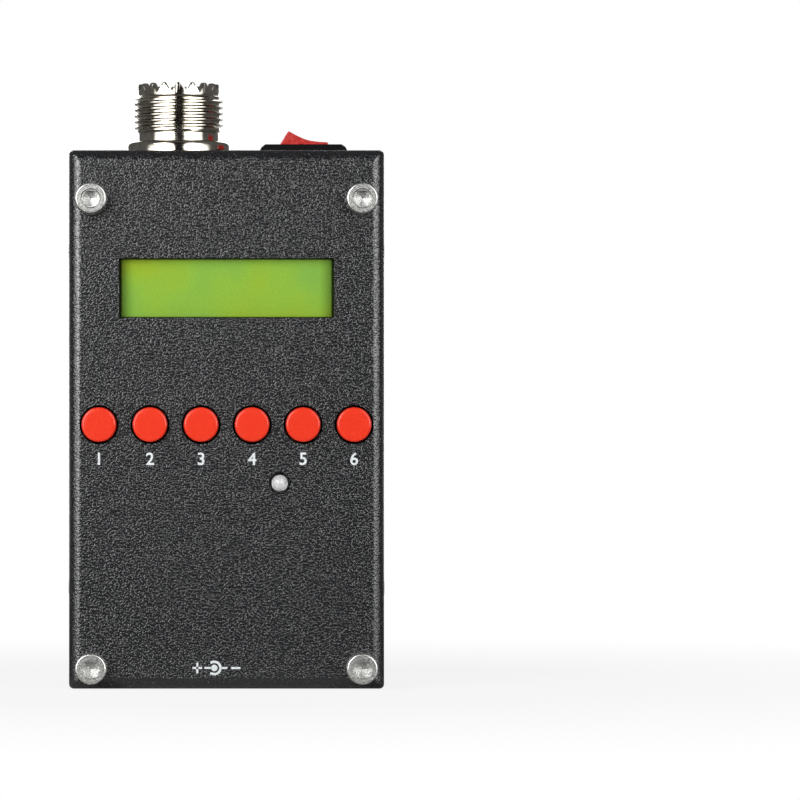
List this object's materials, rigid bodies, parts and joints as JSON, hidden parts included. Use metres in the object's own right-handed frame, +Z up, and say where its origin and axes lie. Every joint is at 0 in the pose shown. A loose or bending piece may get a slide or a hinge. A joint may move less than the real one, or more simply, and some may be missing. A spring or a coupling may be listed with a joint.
{
  "type": "antenna analyzer",
  "caption": "Handheld antenna analyzer in a folded black steel case, with a threaded RF socket and a rocker switch on top, a display window, a row of push-buttons and a status light.",
  "frame": {"origin": "middle of the bottom wall's outer face", "axes": "+Z up through the top wall, along the RF socket's axis; +X to the right as seen from the front; +Y from the front panel to the rear"},
  "size_m": [0.0568, 0.038, 0.1065],
  "materials": {
    "black_plastic": "black, fine satin",
    "bright_screw": "polished stainless",
    "capacitor_sleeve": "bare can",
    "cells": "sleeved can",
    "circuit_board": "green solder mask",
    "clear_lens": "water clear",
    "dark_screw": "black oxide",
    "ferrite": "dark grey",
    "foam": "closed-cell foam",
    "lcd_backlight": "milky",
    "lcd_frame": "black",
    "lcd_glass": "yellow-green, anti-glare",
    "nickel": "bright nickel plate",
    "plunger_plastic": "black",
    "powder_coat": "black fine-grained powder coat, satin",
    "ptfe": "white, smooth",
    "red_cap": "orange red",
    "red_paddle": "bright red",
    "silvered_brass": "silver plated",
    "sleeve": "blue shrink sleeve",
    "tinned": "tinned",
    "white_plastic": "natural nylon",
    "wire": "insulated wire",
    "zinc_brass": "plain"
  },
  "bodies": {
    "case": {"battery_cells": "cells", "battery_leads": "wire", "battery_pad": "foam", "battery_plug": "white_plastic", "battery_wrap": "sleeve", "board_screws": "zinc_brass", "board_spacers": "zinc_brass", "bridge_core": "ferrite", "charge_led": "clear_lens", "chip_legs": "tinned", "controller_chip": "black_plastic", "crystal_can": "nickel", "dc_jack_body": "black_plastic", "dc_jack_leaf": "silvered_brass", "dc_jack_pin": "silvered_brass", "filter_capacitors": "capacitor_sleeve", "front_screws": "bright_screw", "front_shell": "powder_coat", "key_switch_bases": "black_plastic", "key_switch_covers": "tinned", "key_switch_legs": "tinned", "lcd_backlight": "lcd_backlight", "lcd_board": "circuit_board", "lcd_frame": "lcd_frame", "lcd_glass": "lcd_glass", "lcd_header": "black_plastic", "led_leads": "tinned", "main_board": "circuit_board", "rear_cover": "powder_coat", "rf_ground_lug": "nickel", "rf_lead": "tinned", "rf_lock_washer": "nickel", "rf_socket_contact": "silvered_brass", "rf_socket_insulator": "ptfe", "rf_socket_nut": "nickel", "rf_socket_shell": "nickel", "rocker_housing": "black_plastic", "rocker_terminals": "silvered_brass", "side_screws": "dark_screw", "smd_parts": "ferrite", "switch_leads": "wire", "synthesizer_chip": "black_plastic", "usb_shell": "nickel", "usb_tongue": "black_plastic"},
    "rocker": {"rocker_paddle": "red_paddle", "rocker_plunger": "plunger_plastic"},
    "contact_arm": {"rocker_contact_arm": "silvered_brass"},
    "button_1": {"button_cap_1": "red_cap", "button_plunger_1": "plunger_plastic"},
    "button_2": {"button_cap_2": "red_cap", "button_plunger_2": "plunger_plastic"},
    "button_3": {"button_cap_3": "red_cap", "button_plunger_3": "plunger_plastic"},
    "button_4": {"button_cap_4": "red_cap", "button_plunger_4": "plunger_plastic"},
    "button_5": {"button_cap_5": "red_cap", "button_plunger_5": "plunger_plastic"},
    "button_6": {"button_cap_6": "red_cap", "button_plunger_6": "plunger_plastic"}
  },
  "joints": [
    {"name": "rocker_hinge", "type": "hinge", "parent": "case", "child": "rocker", "pos_m": [0.0136, 0, 0.094], "axis": [0, -1, 0], "range_deg": [0, 32]},
    {"name": "contact_arm_hinge", "type": "hinge", "parent": "case", "child": "contact_arm", "pos_m": [0.0136, 0, 0.087], "axis": [0, 1, 0], "range_deg": [0, 20]},
    {"name": "button_1_press", "type": "slide", "parent": "case", "child": "button_1", "axis": [0, 1, 0], "range_m": [0, 0.0003], "stiffness_N_per_m": 2500},
    {"name": "button_2_press", "type": "slide", "parent": "case", "child": "button_2", "axis": [0, 1, 0], "range_m": [0, 0.0003], "stiffness_N_per_m": 2500},
    {"name": "button_3_press", "type": "slide", "parent": "case", "child": "button_3", "axis": [0, 1, 0], "range_m": [0, 0.0003], "stiffness_N_per_m": 2500},
    {"name": "button_4_press", "type": "slide", "parent": "case", "child": "button_4", "axis": [0, 1, 0], "range_m": [0, 0.0003], "stiffness_N_per_m": 2500},
    {"name": "button_5_press", "type": "slide", "parent": "case", "child": "button_5", "axis": [0, 1, 0], "range_m": [0, 0.0003], "stiffness_N_per_m": 2500},
    {"name": "button_6_press", "type": "slide", "parent": "case", "child": "button_6", "axis": [0, 1, 0], "range_m": [0, 0.0003], "stiffness_N_per_m": 2500}
  ],
  "couplings": [
    {"joint": "contact_arm_hinge", "follows": "rocker_hinge", "ratio": 0.625}
  ]
}
